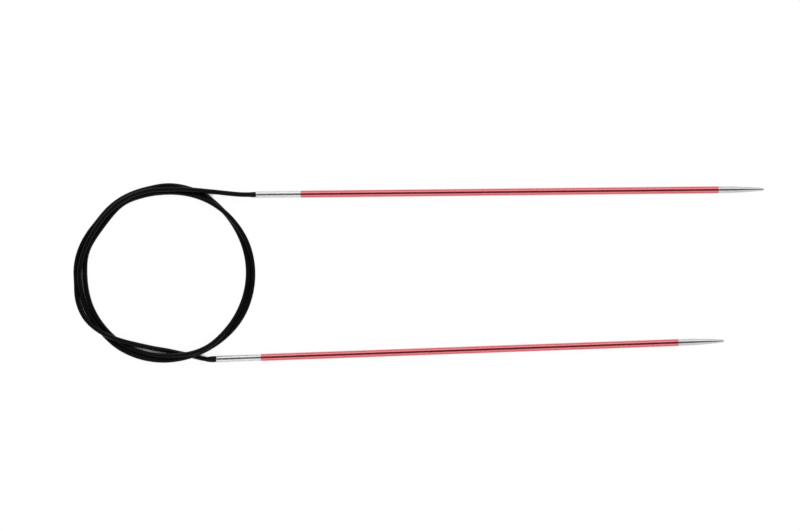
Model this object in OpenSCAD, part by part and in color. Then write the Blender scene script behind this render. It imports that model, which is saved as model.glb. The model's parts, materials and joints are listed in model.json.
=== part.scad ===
// Circular knitting needle: two rigid needles joined by one flexible cable. It lies flat, the needles
// pointing along +X and the cable wound in a loose coil of two and a half turns behind them.

/* [Needle] */
// Diameter of the shaft, which is the knitting size
needle_d = 1.75; // [1.5:0.25:2.25]
// Length of one needle from the cable end of its ferrule to its point
needle_l = 123; // [100:1:160]
// Length of the plated point ahead of the shaft
tip_l = 11.1; // [8:0.1:16]
// Radius of the blunt end of the point
tip_end_r = 0.38; // [0.24:0.02:0.44]
// Length of the ferrule between the shaft and the cable
ferrule_l = 10.9; // [8:0.1:14]
// How deep the point and the ferrule are pressed into the shaft
spigot_l = 3; // [2:0.5:5]

/* [Swivel] */
// Radius of the swivel pin's neck
pin_neck_r = 0.3; // [0.25:0.01:0.32]
// Radius of the swivel pin's head
pin_head_r = 0.47; // [0.42:0.01:0.5]
// Running clearance all round the swivel pin
swivel_gap = 0.03; // [0.02:0.01:0.05]

/* [Cable] */
// Diameter of the cable
cable_d = 1.15; // [1:0.05:1.2]
// Length of the collar on the first needle's end of the cable
collar_a_l = 1.5; // [1.4:0.1:2.4]
// Length of the collar on the second needle's end of the cable
collar_b_l = 2.3; // [1.4:0.1:2.4]

/* [Coil] */
// Inner radius of the wound turns
coil_inner_r = 18; // [17:0.5:19]
// Outer radius of the wound turns
coil_outer_r = 22.4; // [22:0.1:23]
// Height of the wound turns, which cross over each other
coil_h = 2.4; // [1.2:0.1:2.8]

/* [Hidden] */
$fn = 48;

needle_r = needle_d / 2;
cable_r = cable_d / 2;
shaft_l = needle_l - tip_l - ferrule_l;
eps = 0.01;

// The press fits: a spigot leaves a hair of glue room in its socket
spigot_r = 0.54;
socket_r = 0.55;
socket_gap = 0.2;

// The point is an arc that starts in line with the shaft and ends at the blunt end's ball
tip_steps = 12;
arc_l = tip_l - tip_end_r;
arc_drop = needle_r - tip_end_r;
arc_r = (arc_l * arc_l + arc_drop * arc_drop) / (2 * arc_drop);

// The swivel: a headed pin, held behind the ferrule's rounded mouth
mouth_l = 1;
head_l = 0.8;
chamber_l = 2.6;
mouth_round = 0.3;
neck_seat = 1.1;
collar_gap = 0.04;
collar_a_r = 0.66;
collar_b_r = 0.7;
collar_round = 0.12;

// Where things lie. X starts at the second needle's cable end, and base_x centres the needles on the origin
stagger = 9.6;
base_x = -(needle_l + stagger) / 2;
needle_a_place = [stagger, 19.25, 0.6];
needle_b_place = [0, -20.55, 2.05];
coil_centre = [-12.6, 0.25];

// The cable's route where it isn't coiled, from each collar into the coil. The first three points of
// the first route are the cable's end that bends sideways; the rest of it stays with the coil.
route_a = [[8.4, 19.25, needle_r], [6, 19.25, needle_r], [3.9, 19.45, needle_r], [2.7, 19.55, 0.87],
           [0.6, 19.8, 0.9], [-1.5, 20, 1], [-3, 20.15, 1.35], [-4.6, 20.3, 1.7], [-6.6, 20.45, 1.7],
           [-8.6, 20.6, 1.55]];
route_b = [[-1.9, -20.6, needle_r], [-3, -20.5, 0.8], [-4.4, -20.15, 0.6], [-6.3, -19.65, 0.6],
           [-8.6, -19.2, 0.6]];
bend_from = 3;
tube_sides = 8;

function unit(v) = v / norm(v);
function last(list) = len(list) - 1;
function part_of(list, first, final) = [for (i = [first : final]) list[i]];

// Which way a route runs at its point i
function heading(route, i) = unit(route[min(i + 1, last(route))] - route[max(i - 1, 0)]);

// The points of a round section across the route at its point i
function section(route, i, r) =
    let (along = heading(route, i), side = unit(cross(along, [0, 0, 1])), up = cross(side, along))
    [for (k = [0 : tube_sides - 1])
        let (turn = 360 * (k + 0.5) / tube_sides)
        route[i] + r * (cos(turn) * side + sin(turn) * up)];

// The two triangles between neighbouring sections i and i + 1, at side k
function wall(i, k) =
    let (a = i * tube_sides + k, b = i * tube_sides + (k + 1) % tube_sides)
    [[a, a + tube_sides, b + tube_sides], [a, b + tube_sides, b]];

// A solid round cord along a route
module cord(route, r) {
    points = [for (i = [0 : last(route)]) each section(route, i, r)];
    walls = [for (i = [0 : last(route) - 1], k = [0 : tube_sides - 1]) each wall(i, k)];
    front = [for (k = [0 : tube_sides - 1]) k];
    back = [for (k = [tube_sides - 1 : -1 : 0]) last(route) * tube_sides + k];
    polyhedron(points, concat([front], walls, [back]));
}

// Puts a piece drawn along +Z onto a needle's axis, with z = 0 at the ferrule's cable end
module on_needle(place) {
    translate([base_x + place[0], place[1], needle_r])
        rotate([0, 0, place[2]])
            rotate([0, 90, 0])
                children();
}

// Ogive point with a ball end and the spigot that is pressed into the shaft
module tip(place) {
    arc = [for (i = [0 : tip_steps])
        let (z = arc_l * i / tip_steps) [needle_r - arc_r + sqrt(arc_r * arc_r - z * z), z]];
    ball = [for (turn = [15 : 15 : 75]) [tip_end_r * cos(turn), arc_l + tip_end_r * sin(turn)]];
    spigot = [[0, -spigot_l], [spigot_r - 0.1, -spigot_l], [spigot_r, -spigot_l + 0.1], [spigot_r, 0]];
    color("silver")
        on_needle(place)
            translate([0, 0, ferrule_l + shaft_l])
                rotate_extrude()
                    polygon(concat(spigot, arc, ball, [[0, tip_l]]));
}

// Anodised rod with a blind socket in each end
module shaft(place) {
    socket_l = spigot_l + socket_gap;
    color("crimson")
        on_needle(place)
            translate([0, 0, ferrule_l])
                difference() {
                    cylinder(h = shaft_l, r = needle_r);
                    for (z = [-eps, shaft_l - socket_l])
                        translate([0, 0, z])
                            cylinder(h = socket_l + eps, r = socket_r);
                }
}

// Plated ferrule, flush with the shaft: a rounded mouth, the chamber for the pin's head, and a spigot
module ferrule(place) {
    mouth = [for (turn = [90 : -15 : 0])
        [needle_r - mouth_round * (1 - cos(turn)), mouth_round * (1 - sin(turn))]];
    body = [[needle_r, ferrule_l], [spigot_r, ferrule_l], [spigot_r, ferrule_l + spigot_l - 0.1],
            [spigot_r - 0.1, ferrule_l + spigot_l], [0, ferrule_l + spigot_l], [0, 0]];
    color("silver")
        on_needle(place)
            difference() {
                rotate_extrude()
                    polygon(concat(mouth, body));
                translate([0, 0, -eps])
                    cylinder(h = mouth_l + 2 * eps, r = pin_neck_r + swivel_gap);
                translate([0, 0, mouth_l])
                    cylinder(h = chamber_l, r = pin_head_r + swivel_gap);
            }
}

// Headed pin that the needle turns on, its neck held in the cable's collar
module swivel_pin(place) {
    color("lightgray")
        on_needle(place) {
            translate([0, 0, -neck_seat])
                cylinder(h = neck_seat + mouth_l + swivel_gap, r = pin_neck_r);
            translate([0, 0, mouth_l + swivel_gap - eps])
                cylinder(h = head_l, r = pin_head_r);
        }
}

// Black collar crimped over the end of the cable and the pin's neck, flaring towards the needle
module cable_collar(place, length, r) {
    front = -collar_gap;
    outline = [[0, -length], [cable_r + 0.02, -length], [r, -length / 2],
               [r, front - collar_round], [r - collar_round, front], [0, front]];
    color("black")
        on_needle(place)
            difference() {
                rotate_extrude()
                    polygon(outline);
                translate([0, 0, -neck_seat])
                    cylinder(h = neck_seat, r = pin_neck_r);
            }
}

// A stretch of the free cable along part of a route
module cable_stretch(route) {
    color("black")
        translate([base_x, 0, 0])
            cord(route, cable_r);
}

// The outer shape of the wound turns, a ring with round edges
module cable_coil() {
    edge_r = coil_h / 2;
    color("black")
        translate([base_x + coil_centre[0], coil_centre[1], edge_r])
            rotate_extrude($fn = 96) {
                for (r = [coil_inner_r + edge_r, coil_outer_r - edge_r])
                    translate([r, 0])
                        circle(r = edge_r);
                translate([coil_inner_r + edge_r, -edge_r])
                    square([coil_outer_r - coil_inner_r - coil_h, coil_h]);
            }
}

tip(needle_a_place);  // tip_a
shaft(needle_a_place);  // shaft_a
ferrule(needle_a_place);  // ferrule_a
swivel_pin(needle_a_place);  // swivel_pin_a
cable_collar(needle_a_place, collar_a_l, collar_a_r);  // cable_collar_a
cable_stretch(part_of(route_a, 0, bend_from - 1));  // cable_end_a
cable_stretch(part_of(route_a, bend_from, last(route_a)));  // cable_tail_a
cable_coil();
cable_stretch(route_b);  // cable_tail_b
cable_collar(needle_b_place, collar_b_l, collar_b_r);  // cable_collar_b
swivel_pin(needle_b_place);  // swivel_pin_b
ferrule(needle_b_place);  // ferrule_b
shaft(needle_b_place);  // shaft_b
tip(needle_b_place);  // tip_b
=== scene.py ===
"""The looks of a circular knitting needle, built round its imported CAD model. Lengths are in metres.

Two red needles with plated points and ferrules lie along +X, and one black cable joins them, wound in
a loose coil of two and a half turns. Every rigid piece is turned in mesh code about its needle's axis.
"""

import json
import math

import bmesh
import bpy
from mathutils import Matrix, Vector


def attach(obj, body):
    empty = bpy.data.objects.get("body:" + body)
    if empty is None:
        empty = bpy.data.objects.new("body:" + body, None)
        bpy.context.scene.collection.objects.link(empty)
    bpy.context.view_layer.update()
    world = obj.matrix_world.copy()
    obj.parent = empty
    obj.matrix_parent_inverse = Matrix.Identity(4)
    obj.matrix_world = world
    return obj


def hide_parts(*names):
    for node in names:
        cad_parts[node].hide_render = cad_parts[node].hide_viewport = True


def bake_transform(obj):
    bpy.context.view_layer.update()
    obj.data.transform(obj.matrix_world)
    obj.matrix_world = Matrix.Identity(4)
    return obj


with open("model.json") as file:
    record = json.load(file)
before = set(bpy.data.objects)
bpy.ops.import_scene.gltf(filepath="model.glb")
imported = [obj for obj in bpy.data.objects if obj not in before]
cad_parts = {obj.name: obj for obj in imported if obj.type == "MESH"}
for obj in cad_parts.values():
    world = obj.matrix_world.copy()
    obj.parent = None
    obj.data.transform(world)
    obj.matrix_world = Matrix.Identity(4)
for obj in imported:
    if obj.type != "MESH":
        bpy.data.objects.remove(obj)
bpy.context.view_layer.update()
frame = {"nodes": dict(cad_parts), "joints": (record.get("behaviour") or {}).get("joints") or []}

MM = 0.001


def swivel_line(joint_name):
    """A needle's cable end and the way the needle points, from its swivel joint."""
    joint = next(j for j in frame["joints"] if j["name"] == joint_name)
    return Vector(joint["pos_m"]), Vector(joint["axis"]).normalized()


END_A, ALONG_A = swivel_line("needle_a_swivel")
END_B, ALONG_B = swivel_line("needle_b_swivel")

# ---------------------------------------------------------------- camera

# The view's middle and its width at the height of the needles' axes
VIEW_CENTRE = (-21.8 * MM, 2.1 * MM)
VIEW_WIDTH = 193.6 * MM
# In millimetres, as Blender states them
LENS = 150
SENSOR = 36


def add_camera():
    """The camera looks straight down, with +Y up in the picture."""
    data = bpy.data.cameras.new("camera")
    data.lens = LENS
    data.sensor_width = SENSOR
    camera = bpy.data.objects.new("camera", data)
    camera.location = (*VIEW_CENTRE, VIEW_WIDTH * LENS / SENSOR + END_A.z)
    bpy.context.collection.objects.link(camera)
    bpy.context.scene.camera = camera


add_camera()

# ---------------------------------------------------------------- the cable's line, in mm

# The cable's route in millimetres, with X from the second needle's cable end. The first and last
# stretches are the CAD model's own route points.
TAIL_A = [
    (8.4, 19.25, 0.875), (6, 19.25, 0.875), (3.9, 19.45, 0.875), (2.7, 19.55, 0.87), (0.6, 19.8, 0.9),
    (-1.5, 20, 1), (-3, 20.15, 1.35), (-4.6, 20.3, 1.7), (-6.6, 20.45, 1.7), (-8.6, 20.6, 1.55),
]
TAIL_B = [
    (-8.6, -19.2, 0.6), (-6.3, -19.65, 0.6), (-4.4, -20.15, 0.6), (-3, -20.5, 0.8), (-1.9, -20.6, 0.875),
]
COIL_CENTRE = (-12.6, 0.25)

# Where the winding is at some angles round the coil: (degrees, radius, height). It lies on the floor
# at 0.6 and rises over the turns that it crosses.
WINDING = [
    (90, 20.3, 1.5), (120, 20.2, 1.6), (136, 19.85, 1.5), (150, 19.7, 1.45), (165, 20.1, 1.4),
    (175, 20.37, 1.42), (183, 20.54, 1.42), (189, 20.58, 1.2), (195, 20.6, 0.75), (202, 20.72, 0.6),
    (212, 20.74, 0.6), (222, 20.75, 0.6),
    (240, 21.12, 0.6), (268, 21.16, 0.6), (280, 21.1, 1.3), (289, 21.1, 1.74), (298, 21.15, 1.3),
    (310, 21.28, 0.65), (330, 21.6, 0.6), (352, 21.57, 0.6), (365, 21.52, 0.65), (380, 21.42, 1.2),
    (390, 21.2, 1.55), (405, 20.85, 1.74), (418, 20.5, 1.55), (426, 20.24, 1.15), (435, 19.95, 0.7),
    (450, 19.52, 0.6), (466, 19.45, 0.6), (481, 19.6, 0.6), (488, 19.25, 0.6), (498, 18.82, 0.6),
    (507, 18.78, 0.6), (516, 19.06, 0.6), (524, 19.38, 0.6), (531, 19.32, 0.6), (540, 19.16, 0.6),
    (552, 19.22, 0.6), (560, 19.36, 0.6), (570, 19.5, 0.6), (582, 19.63, 0.6), (600, 19.95, 0.6),
    (618, 19.98, 0.65), (632, 20.04, 1.4), (642, 20.25, 2.2), (650, 20.55, 2.6), (658, 20.74, 2.4),
    (666, 20.7, 1.9), (675, 20.48, 1.4), (684, 20.4, 0.85), (695, 20.32, 0.6), (720, 20.36, 0.6),
    (750, 20.5, 0.6), (768, 20.84, 0.6), (780, 21.18, 0.6), (795, 21.35, 0.6), (808, 21.28, 0.6),
    (820, 20.85, 0.6), (840, 20.78, 0.6), (852, 20.6, 0.6), (862, 20.36, 0.6), (871, 20.66, 0.6),
    (882, 21.1, 0.6), (893, 21.4, 0.6), (900, 21.45, 0.6), (906, 21.38, 0.6), (912, 21.75, 0.6),
    (918, 22.03, 0.65), (924, 22.1, 0.8), (930, 22, 1.1), (936, 21.55, 1.45), (944, 20.75, 1.76),
    (952, 19.9, 1.76), (958, 19.3, 1.5), (963, 18.9, 1.15), (969, 18.52, 0.75), (978, 18.34, 0.6),
    (990, 18.6, 0.6),
]
# Degrees from one point of the wound route to the next: 60 points for every turn
WINDING_STEP = 6
# The cable's rings are 0.6 mm apart, and never nearer the floor than its own radius
RING_SPACING = 0.6
LOWEST_HEIGHT = 0.58
SMOOTHING_PASSES = 6


def winding_slope(k, part):
    """How fast the radius (part 1) or the height (part 2) changes at row k of WINDING."""
    before, after = WINDING[max(k - 1, 0)], WINDING[min(k + 1, len(WINDING) - 1)]
    return (after[part] - before[part]) / (after[0] - before[0])


def winding_at(angle):
    """The cable's radius and height at an angle round the coil, on a smooth line through WINDING."""
    i = max(k for k in range(len(WINDING) - 1) if WINDING[k][0] <= angle)
    here, there = WINDING[i], WINDING[i + 1]
    span = there[0] - here[0]
    t = (angle - here[0]) / span
    values = []
    for part in (1, 2):
        rise = there[part] - here[part]
        early = winding_slope(i, part) * span - rise
        late = winding_slope(i + 1, part) * span - rise
        bend = early * (1 - t) - late * t
        values.append(here[part] + t * rise + t * (1 - t) * bend)
    return values[0], max(values[1], LOWEST_HEIGHT)


def coil_points():
    """The wound part of the route, in millimetres, worked out turn by turn from WINDING."""
    points = []
    for angle in range(WINDING[0][0] + WINDING_STEP, WINDING[-1][0] + 1, WINDING_STEP):
        radius, height = winding_at(angle)
        turn = math.radians(angle)
        x = COIL_CENTRE[0] + radius * math.cos(turn)
        y = COIL_CENTRE[1] + radius * math.sin(turn)
        points.append((x, y, height))
    return points


def resampled(points, spacing):
    """Points an even distance apart along a broken line."""
    marks = [0.0]
    for a, b in zip(points, points[1:]):
        marks.append(marks[-1] + (b - a).length)
    count = round(marks[-1] / spacing)
    out, i = [], 0
    for k in range(count + 1):
        want = marks[-1] * k / count
        while i < len(points) - 2 and marks[i + 1] < want:
            i += 1
        share = (want - marks[i]) / (marks[i + 1] - marks[i])
        out.append(points[i].lerp(points[i + 1], share))
    return out


def through(points, parts=6):
    """A Catmull-Rom line through the points."""
    out = []
    last = len(points) - 1
    for i in range(last):
        p0, p1, p2, p3 = (points[min(max(k, 0), last)] for k in (i - 1, i, i + 1, i + 2))
        for step in range(parts):
            t = step / parts
            out.append(0.5 * (
                2 * p1 + (p2 - p0) * t + (2 * p0 - 5 * p1 + 4 * p2 - p3) * t ** 2
                + (3 * p1 - p0 - 3 * p2 + p3) * t ** 3
            ))
    return out + [points[-1]]


def cable_line():
    """The cable's centreline from needle A's collar to needle B's, in metres."""
    route = TAIL_A + coil_points() + TAIL_B
    line = resampled(through([Vector(p) for p in route]), RING_SPACING)
    for _ in range(SMOOTHING_PASSES):
        inner = [(a + 2 * b + c) / 4 for a, b, c in zip(line, line[1:], line[2:])]
        line = [line[0], *inner, line[-1]]
    return [Vector((END_B.x + p.x * MM, p.y * MM, p.z * MM)) for p in line]


# ---------------------------------------------------------------- mesh helpers

TURNED_SIDES = 96


def new_piece(name, mesh, material, nodes):
    """An object with a material, which stands for some CAD nodes."""
    piece = bpy.data.objects.new(name, mesh)
    bpy.context.collection.objects.link(piece)
    piece.data.materials.append(material)
    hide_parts(*nodes)
    return piece


def tube(name, line, radius, sides):
    """A round tube along a line. Its UV map runs round and along it, in metres."""
    mesh = bpy.data.meshes.new(name)
    bm = bmesh.new()
    uv = bm.loops.layers.uv.new("lay")
    side = Vector((0, 0, 1))
    rings, marks, mark = [], [], 0.0
    for i, point in enumerate(line):
        along = (line[min(i + 1, len(line) - 1)] - line[max(i - 1, 0)]).normalized()
        side = (side - along * side.dot(along)).normalized()
        other = along.cross(side)
        ring = []
        for k in range(sides):
            turn = 2 * math.pi * k / sides
            ring.append(bm.verts.new(point + radius * (math.cos(turn) * side + math.sin(turn) * other)))
        rings.append(ring)
        mark += (point - line[max(i - 1, 0)]).length
        marks.append(mark)
    around = 2 * math.pi * radius / sides
    for i in range(len(rings) - 1):
        for k in range(sides):
            n = (k + 1) % sides
            face = bm.faces.new((rings[i][k], rings[i][n], rings[i + 1][n], rings[i + 1][k]))
            face.smooth = True
            corners = ((k, i), (k + 1, i), (k + 1, i + 1), (k, i + 1))
            for loop, (u, v) in zip(face.loops, corners):
                loop[uv].uv = (u * around, marks[v])
    bm.faces.new(reversed(rings[0]))
    bm.faces.new(rings[-1])
    bm.normal_update()
    bm.to_mesh(mesh)
    bm.free()
    return mesh


def turned(name, profile):
    """A turned solid about Z from (z, radius, sharp) points, closed on the axis at both ends."""
    sides = TURNED_SIDES
    mesh = bpy.data.meshes.new(name)
    bm = bmesh.new()
    rings = []
    for z, radius, _ in profile:
        if radius == 0:
            rings.append([bm.verts.new((0, 0, z))])
            continue
        turns = [2 * math.pi * k / sides for k in range(sides)]
        rings.append([bm.verts.new((radius * math.cos(t), radius * math.sin(t), z)) for t in turns])
    for low, high in zip(rings, rings[1:]):
        for k in range(sides):
            n = (k + 1) % sides
            corners = [low[k % len(low)], low[n % len(low)], high[n % len(high)], high[k % len(high)]]
            unique = list(dict.fromkeys(corners))
            bm.faces.new(unique).smooth = True
    for ring, (_, _, sharp) in zip(rings, profile):
        if sharp and len(ring) > 1:
            for k in range(sides):
                edge = bm.edges.get((ring[k], ring[(k + 1) % sides]))
                edge.smooth = False
    bmesh.ops.recalc_face_normals(bm, faces=bm.faces)
    bm.to_mesh(mesh)
    bm.free()
    return mesh


def on_needle(piece, end, along, body):
    """Lays a piece turned about Z along a needle, with z = 0 at the needle's cable end."""
    turn = Vector((0, 0, 1)).rotation_difference(along).to_matrix().to_4x4()
    piece.matrix_world = Matrix.Translation(end) @ turn
    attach(piece, body)


# ---------------------------------------------------------------- materials

NOISE_ROUGHNESS = 0.55


class Paint:
    """A Principled material, with short ways to add procedural detail to it."""

    def __init__(self, name, **values):
        self.material = bpy.data.materials.new(name)
        self.material.use_nodes = True
        self.tree = self.material.node_tree
        self.shader = self.tree.nodes["Principled BSDF"]
        for key, value in values.items():
            self.shader.inputs[key.replace("_", " ")].default_value = value

    def node(self, kind, **settings):
        node = self.tree.nodes.new(kind)
        for key, value in settings.items():
            setattr(node, key, value)
        return node

    def join(self, out, to):
        self.tree.links.new(out, to)

    def noise(self, scale, detail=3.0, source="Object"):
        """Noise stretched by a scale along each axis of the object's own space, or of its UV map."""
        place = self.node("ShaderNodeTexCoord")
        mapping = self.node("ShaderNodeMapping")
        mapping.inputs["Scale"].default_value = scale
        noise = self.node("ShaderNodeTexNoise")
        noise.inputs["Scale"].default_value = 1.0
        noise.inputs["Detail"].default_value = detail
        noise.inputs["Roughness"].default_value = NOISE_ROUGHNESS
        self.join(place.outputs[source], mapping.inputs["Vector"])
        self.join(mapping.outputs["Vector"], noise.inputs["Vector"])
        return noise.outputs["Fac"]

    def ranged(self, value, low, high, start=0.3, end=0.7):
        """Maps a value from start..end to low..high."""
        remap = self.node("ShaderNodeMapRange")
        remap.inputs["From Min"].default_value = start
        remap.inputs["From Max"].default_value = end
        remap.inputs["To Min"].default_value = low
        remap.inputs["To Max"].default_value = high
        self.join(value, remap.inputs["Value"])
        return remap.outputs["Result"]

    def mixed(self, share, first, second):
        """A colour between two by a share."""
        mix = self.node("ShaderNodeMix", data_type="RGBA")
        for socket, value in (("A_Color", first), ("B_Color", second)):
            target = next(s for s in mix.inputs if s.identifier == socket)
            target.default_value = (*value, 1)
        self.join(share, mix.inputs[0])
        return next(s for s in mix.outputs if s.identifier == "Result_Color")

    def bumped(self, *layers):
        """Adds bump from (value, depth in metres) layers, the first one lowest."""
        normal = None
        for value, depth in layers:
            bump = self.node("ShaderNodeBump")
            bump.inputs["Strength"].default_value = 1.0
            bump.inputs["Distance"].default_value = depth
            self.join(value, bump.inputs["Height"])
            if normal:
                self.join(normal, bump.inputs["Normal"])
            normal = bump.outputs["Normal"]
        self.join(normal, self.shader.inputs["Normal"])


def red_anodised():
    """Dyed anodised aluminium: a deep red metal with drawn lines under a clear, hard, glossy skin."""
    paint = Paint("red_anodised", Metallic=1.0, Coat_Weight=1.0, Coat_Roughness=0.07, Coat_IOR=2.6)
    drawn = paint.noise((9000, 9000, 90))
    patches = paint.noise((350, 350, 60), detail=2)
    colour = paint.mixed(paint.ranged(patches, 0, 1), (0.76, 0.025, 0.055), (0.84, 0.035, 0.07))
    paint.join(colour, paint.shader.inputs["Base Color"])
    paint.join(paint.ranged(drawn, 0.34, 0.39), paint.shader.inputs["Roughness"])
    paint.bumped((drawn, 0.15e-6))
    return paint.material


def bright_nickel(name, dull, bright, smooth, rough):
    """Bright nickel plate between two greys, with lengthwise polishing lines and small scuffs."""
    paint = Paint(name, Metallic=1.0)
    lines = paint.noise((7000, 7000, 200))
    scuffs = paint.noise((1500, 1500, 500), detail=4)
    colour = paint.mixed(paint.ranged(scuffs, 0, 1), (dull, dull, dull), (bright, bright, bright))
    paint.join(colour, paint.shader.inputs["Base Color"])
    paint.join(paint.ranged(lines, smooth, rough), paint.shader.inputs["Roughness"])
    paint.bumped((lines, 0.12e-6), (scuffs, 0.2e-6))
    return paint.material


def pin_steel():
    """Turned steel, its tool marks running round it."""
    paint = Paint("pin_steel", Metallic=1.0)
    marks = paint.noise((20000, 300, 300))
    colour = paint.mixed(paint.ranged(marks, 0, 1), (0.55, 0.55, 0.56), (0.66, 0.66, 0.67))
    paint.join(colour, paint.shader.inputs["Base Color"])
    paint.join(paint.ranged(marks, 0.22, 0.38), paint.shader.inputs["Roughness"])
    paint.bumped((marks, 1e-6))
    return paint.material


def black_cable():
    """Extruded black nylon: fine lines along it, a soft sheen and a little dust in its handling marks."""
    paint = Paint("black_cable", Specular_IOR_Level=0.12)
    lines = paint.noise((6000, 120, 1), source="UV")
    rubs = paint.noise((900, 260, 1), detail=4, source="UV")
    colour = paint.mixed(paint.ranged(rubs, 0, 1), (0.003, 0.003, 0.003), (0.006, 0.006, 0.006))
    paint.join(colour, paint.shader.inputs["Base Color"])
    paint.join(paint.ranged(rubs, 0.32, 0.48), paint.shader.inputs["Roughness"])
    paint.bumped((rubs, 6e-6), (lines, 2e-6))
    return paint.material


def black_collar():
    """Moulded black nylon, matt, with the fine texture of its tool."""
    paint = Paint("black_collar", Specular_IOR_Level=0.15)
    grain = paint.noise((9000, 9000, 9000), detail=4)
    rubs = paint.noise((1200, 1200, 1200), detail=2)
    colour = paint.mixed(paint.ranged(rubs, 0, 1), (0.004, 0.004, 0.004), (0.007, 0.007, 0.007))
    paint.join(colour, paint.shader.inputs["Base Color"])
    paint.join(paint.ranged(grain, 0.45, 0.62), paint.shader.inputs["Roughness"])
    paint.bumped((grain, 4e-6))
    return paint.material


RED = red_anodised()
NICKEL = bright_nickel("bright_nickel", 0.84, 0.89, 0.28, 0.34)
# The tips' nickel: the same plate in darker greys, which is painted shade for the dimmer light towards the
# tip end.
TIP_NICKEL_PAINTED_SHADE = bright_nickel("tip_nickel_painted_shade", 0.7, 0.78, 0.28, 0.34)
STEEL = pin_steel()
CABLE = black_cable()
COLLAR = black_collar()

# ---------------------------------------------------------------- the cable

CABLE_RADIUS = 0.575 * MM
CABLE_SIDES = 20
COLLAR_A_LENGTH = 1.5 * MM
COLLAR_A_RADIUS = 0.66 * MM
COLLAR_B_LENGTH = 2.3 * MM
COLLAR_B_RADIUS = 0.74 * MM


def add_cable():
    """One length of cable, made as one mesh. The CAD model's hinge stands in for its bending."""
    line = cable_line()
    mesh = tube("cable", line, CABLE_RADIUS, CABLE_SIDES)
    nodes = ("cable_end_a", "cable_tail_a", "cable_coil", "cable_tail_b")
    cable = new_piece("cable", mesh, CABLE, nodes)
    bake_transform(cable)


# ---------------------------------------------------------------- needles and collars

NEEDLE_RADIUS = 0.875 * MM
FERRULE_LENGTH = 10.9 * MM
NEEDLE_LENGTH = 123 * MM
TIP_LENGTH = 11.1 * MM
TIP_END_RADIUS = 0.38 * MM
SHAFT_LENGTH = NEEDLE_LENGTH - TIP_LENGTH - FERRULE_LENGTH
MOUTH_ROUND = 0.3 * MM
NECK_HOLE_RADIUS = 0.33 * MM
NECK_HOLE_DEPTH = 0.8 * MM
# The bevel on a turned edge, and the wider one at the shaft's ends, which shows as a hairline
EDGE = 0.03 * MM
SEAM = 0.07 * MM


def arc(centre_z, centre_r, radius, first, final, steps):
    """(z, radius) points on an arc, its angles in degrees from the +Z direction towards outside."""
    points = []
    for k in range(steps + 1):
        turn = math.radians(first + (final - first) * k / steps)
        points.append((centre_z + radius * math.cos(turn), centre_r + radius * math.sin(turn), False))
    return points


def ferrule_profile():
    """A rounded mouth with the pin's hole in it, then a plain barrel as thick as the shaft."""
    mouth = [(NECK_HOLE_DEPTH, 0, False), (NECK_HOLE_DEPTH, NECK_HOLE_RADIUS, True),
             (EDGE, NECK_HOLE_RADIUS, True), (0, NECK_HOLE_RADIUS + EDGE, True)]
    corner = arc(MOUTH_ROUND, NEEDLE_RADIUS - MOUTH_ROUND, MOUTH_ROUND, 180, 90, 8)
    barrel = [(4 * MOUTH_ROUND, NEEDLE_RADIUS, False), (FERRULE_LENGTH - 4 * EDGE, NEEDLE_RADIUS, False),
              (FERRULE_LENGTH - EDGE, NEEDLE_RADIUS, True), (FERRULE_LENGTH, NEEDLE_RADIUS - EDGE, True),
              (FERRULE_LENGTH, 0, False)]
    return mouth + corner + barrel


def shaft_profile():
    """A long rod with a fine bevel at each end, so that its joints show as hairlines."""
    start, end = FERRULE_LENGTH, FERRULE_LENGTH + SHAFT_LENGTH
    rings = 24
    body = [(start + SHAFT_LENGTH * k / rings, NEEDLE_RADIUS, False) for k in range(1, rings)]
    return [(start, 0, False), (start, NEEDLE_RADIUS - SEAM, True), (start + SEAM, NEEDLE_RADIUS, True),
            *body, (end - SEAM, NEEDLE_RADIUS, True), (end, NEEDLE_RADIUS - SEAM, True), (end, 0, False)]


def tip_profile():
    """An arc from the shaft's own thickness to a small ball end."""
    start = FERRULE_LENGTH + SHAFT_LENGTH
    length = TIP_LENGTH - TIP_END_RADIUS
    drop = NEEDLE_RADIUS - TIP_END_RADIUS
    bow = (length ** 2 + drop ** 2) / (2 * drop)
    steps = 40
    sides = []
    for k in range(1, steps + 1):
        z = length * k / steps
        sides.append((start + z, NEEDLE_RADIUS - bow + math.sqrt(bow ** 2 - z ** 2), False))
    ball = arc(start + length, 0, TIP_END_RADIUS, 84, 12, 9)
    base = [(start, 0, False), (start, NEEDLE_RADIUS - EDGE, True), (start + EDGE, NEEDLE_RADIUS, True)]
    return base + sides + ball + [(NEEDLE_LENGTH, 0, False)]


def collar_profile(length, radius):
    """A sleeve that starts close round the cable, swells, and is rounded where it meets the ferrule."""
    front = -0.04 * MM
    back = -length
    lip = CABLE_RADIUS + 0.02 * MM
    swell_start = back + 0.05 * MM
    swell_length = length * 0.6
    steps = 8
    swell = []
    for k in range(steps + 1):
        share = k / steps
        ease = share * share * (3 - 2 * share)
        swell.append((swell_start + swell_length * share, lip + (radius - lip) * ease, False))
    rounding = 0.14 * MM
    nose = arc(front - rounding, radius - rounding, rounding, 90, 0, 6)
    return [(back, 0, False), (back, lip - EDGE, True), *swell, *nose, (front, 0, False)]


def add_needle(letter, end, along, cable_body, collar_length, collar_radius):
    """One needle's three turned pieces, and last the collar behind it, which is returned."""
    body = "needle_" + letter
    made = (
        ("ferrule_", ferrule_profile(), NICKEL, "bright_nickel", body),
        ("shaft_", shaft_profile(), RED, "red_anodised", body),
        # The tip's darker nickel is painted shade.
        ("tip_", tip_profile(), TIP_NICKEL_PAINTED_SHADE, "bright_nickel", body),
        ("cable_collar_", collar_profile(collar_length, collar_radius), COLLAR, "black_collar", cable_body),
    )
    for stem, profile, material, slot, rides_on in made:
        name = stem + letter
        piece = new_piece(name + "_turned", turned(name, profile), material, (name,))
        on_needle(piece, end, along, rides_on)
    pin = frame["nodes"]["swivel_pin_" + letter]
    pin.data.materials.clear()
    pin.data.materials.append(STEEL)
    return piece


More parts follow.
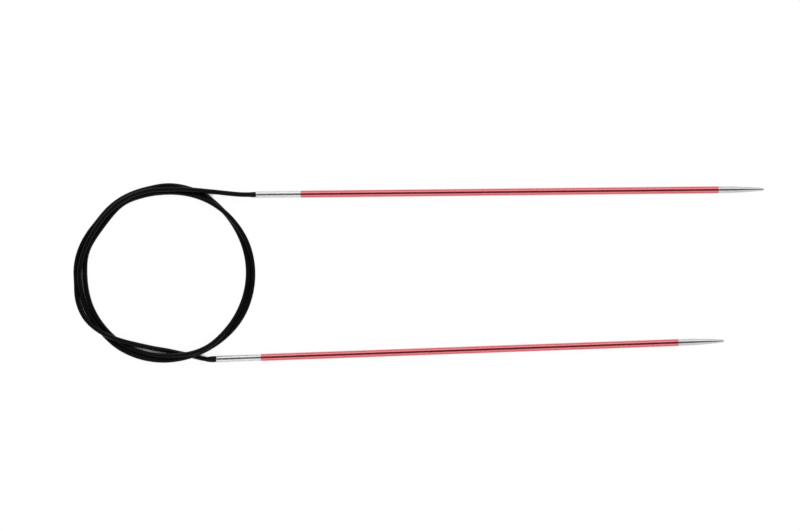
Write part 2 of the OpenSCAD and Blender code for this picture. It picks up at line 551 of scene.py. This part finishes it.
collar_a = add_needle("a", END_A, ALONG_A, "cable_bend", COLLAR_A_LENGTH, COLLAR_A_RADIUS)
collar_b = add_needle("b", END_B, ALONG_B, "cable", COLLAR_B_LENGTH, COLLAR_B_RADIUS)
add_cable()

# ---------------------------------------------------------------- floor and lights

FLOOR_SIZE = 8
# The floor lies just under the pieces that rest on it
FLOOR_HEIGHT = -0.01 * MM
FLOOR_GREY = 0.14
FLOOR_GLOW = 0.94
# Painted shade in narrow gaps: a spot of floor starts to glow at one share of open space within this
# distance, and is full at another
COVER_DISTANCE = 1.5 * MM
GLOW_STARTS = 0.3
GLOW_FULL = 0.5
ROOM_BRIGHTNESS = 0.04
# Name, place, size and radiance
SOFTBOXES = (
    ("softbox_front", (0, -0.6, 0.45), (0.6, 2.0), 1.02),
    ("softbox_back", (0, 0.6, 0.45), (0.6, 2.0), 1.2),
    ("softbox_left", (-0.9, 0, 0.6), (0.6, 1.2), 0.35),
    ("softbox_right", (0.9, 0, 0.6), (0.6, 1.2), 0.35),
)


def add_floor():
    """A backlit white table with no shadows, which glows evenly. Its glow is dimmed by an occlusion test
    where things almost
    cover it: painted shade, so that a narrow gap between two turns of the cable shows dark."""
    bpy.ops.mesh.primitive_plane_add(size=FLOOR_SIZE, location=(0, 0, FLOOR_HEIGHT))
    floor = bpy.context.object
    floor.name = "floor"
    grey = (FLOOR_GREY, FLOOR_GREY, FLOOR_GREY, 1)
    paint = Paint("white_table_with_painted_gap_shade", Base_Color=grey, Roughness=0.9, Specular_IOR_Level=0.0)
    paint.shader.inputs["Emission Color"].default_value = (1, 1, 1, 1)
    # Painted shade: an occlusion test dims the floor's glow where parts almost cover it.
    cover = paint.node("ShaderNodeAmbientOcclusion", samples=16)
    cover.inputs["Distance"].default_value = COVER_DISTANCE
    glow = paint.ranged(cover.outputs["AO"], 0, FLOOR_GLOW, start=GLOW_STARTS, end=GLOW_FULL)
    paint.join(glow, paint.shader.inputs["Emission Strength"])
    paint.material.cycles.emission_sampling = "NONE"
    floor.data.materials.append(paint.material)


def add_softbox(name, place, size, radiance):
    """A rectangular light that looks at the origin, of an even radiance over its face."""
    data = bpy.data.lights.new(name, "AREA")
    data.shape = "RECTANGLE"
    data.size, data.size_y = size
    data.energy = radiance * math.pi * size[0] * size[1]
    light = bpy.data.objects.new(name, data)
    light.location = place
    light.rotation_euler = (-Vector(place)).to_track_quat("-Z", "X").to_euler()
    light.visible_camera = False
    bpy.context.collection.objects.link(light)


def add_world():
    """A dim grey room, which the overhead gap between the lights shows."""
    world = bpy.data.worlds.new("room")
    world.use_nodes = True
    background = world.node_tree.nodes["Background"]
    background.inputs["Color"].default_value = (1, 1, 1, 1)
    background.inputs["Strength"].default_value = ROOM_BRIGHTNESS
    bpy.context.scene.world = world


add_floor()
for softbox in SOFTBOXES:
    add_softbox(*softbox)
add_world()
bpy.context.scene.view_settings.view_transform = "Standard"
